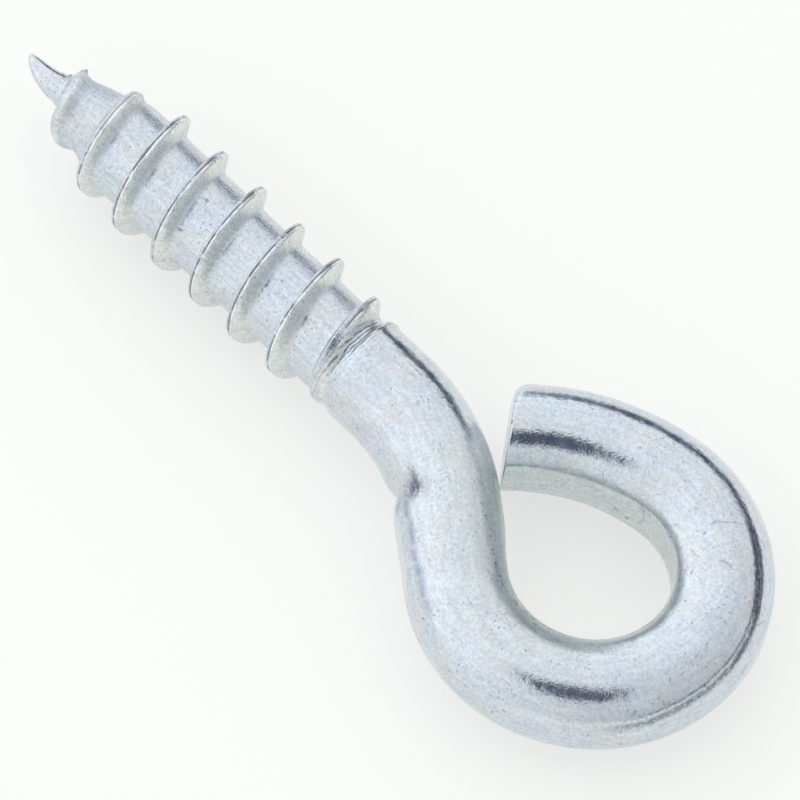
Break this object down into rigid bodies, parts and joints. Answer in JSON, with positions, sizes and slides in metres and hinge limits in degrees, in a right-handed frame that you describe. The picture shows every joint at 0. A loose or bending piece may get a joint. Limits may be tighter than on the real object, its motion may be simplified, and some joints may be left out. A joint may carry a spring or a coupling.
{
  "type": "screw eye",
  "caption": "Screw eye bent from one steel wire: open round eye on a short shank with a coarse wood-screw thread and gimlet point, for hanging hooks, snaps, wire or rope.",
  "frame": {"origin": "centre of the eye", "axes": "+Z along the axis of the eye's hole, +X along the shank from the eye to the screw point, +Y towards the side that the neck bends to"},
  "size_m": [0.0563, 0.0216, 0.0076],
  "materials": {
    "zinc_plated_steel": "satin bright zinc"
  },
  "bodies": {
    "root": {"screw_eye": "zinc_plated_steel"}
  },
  "joints": []
}
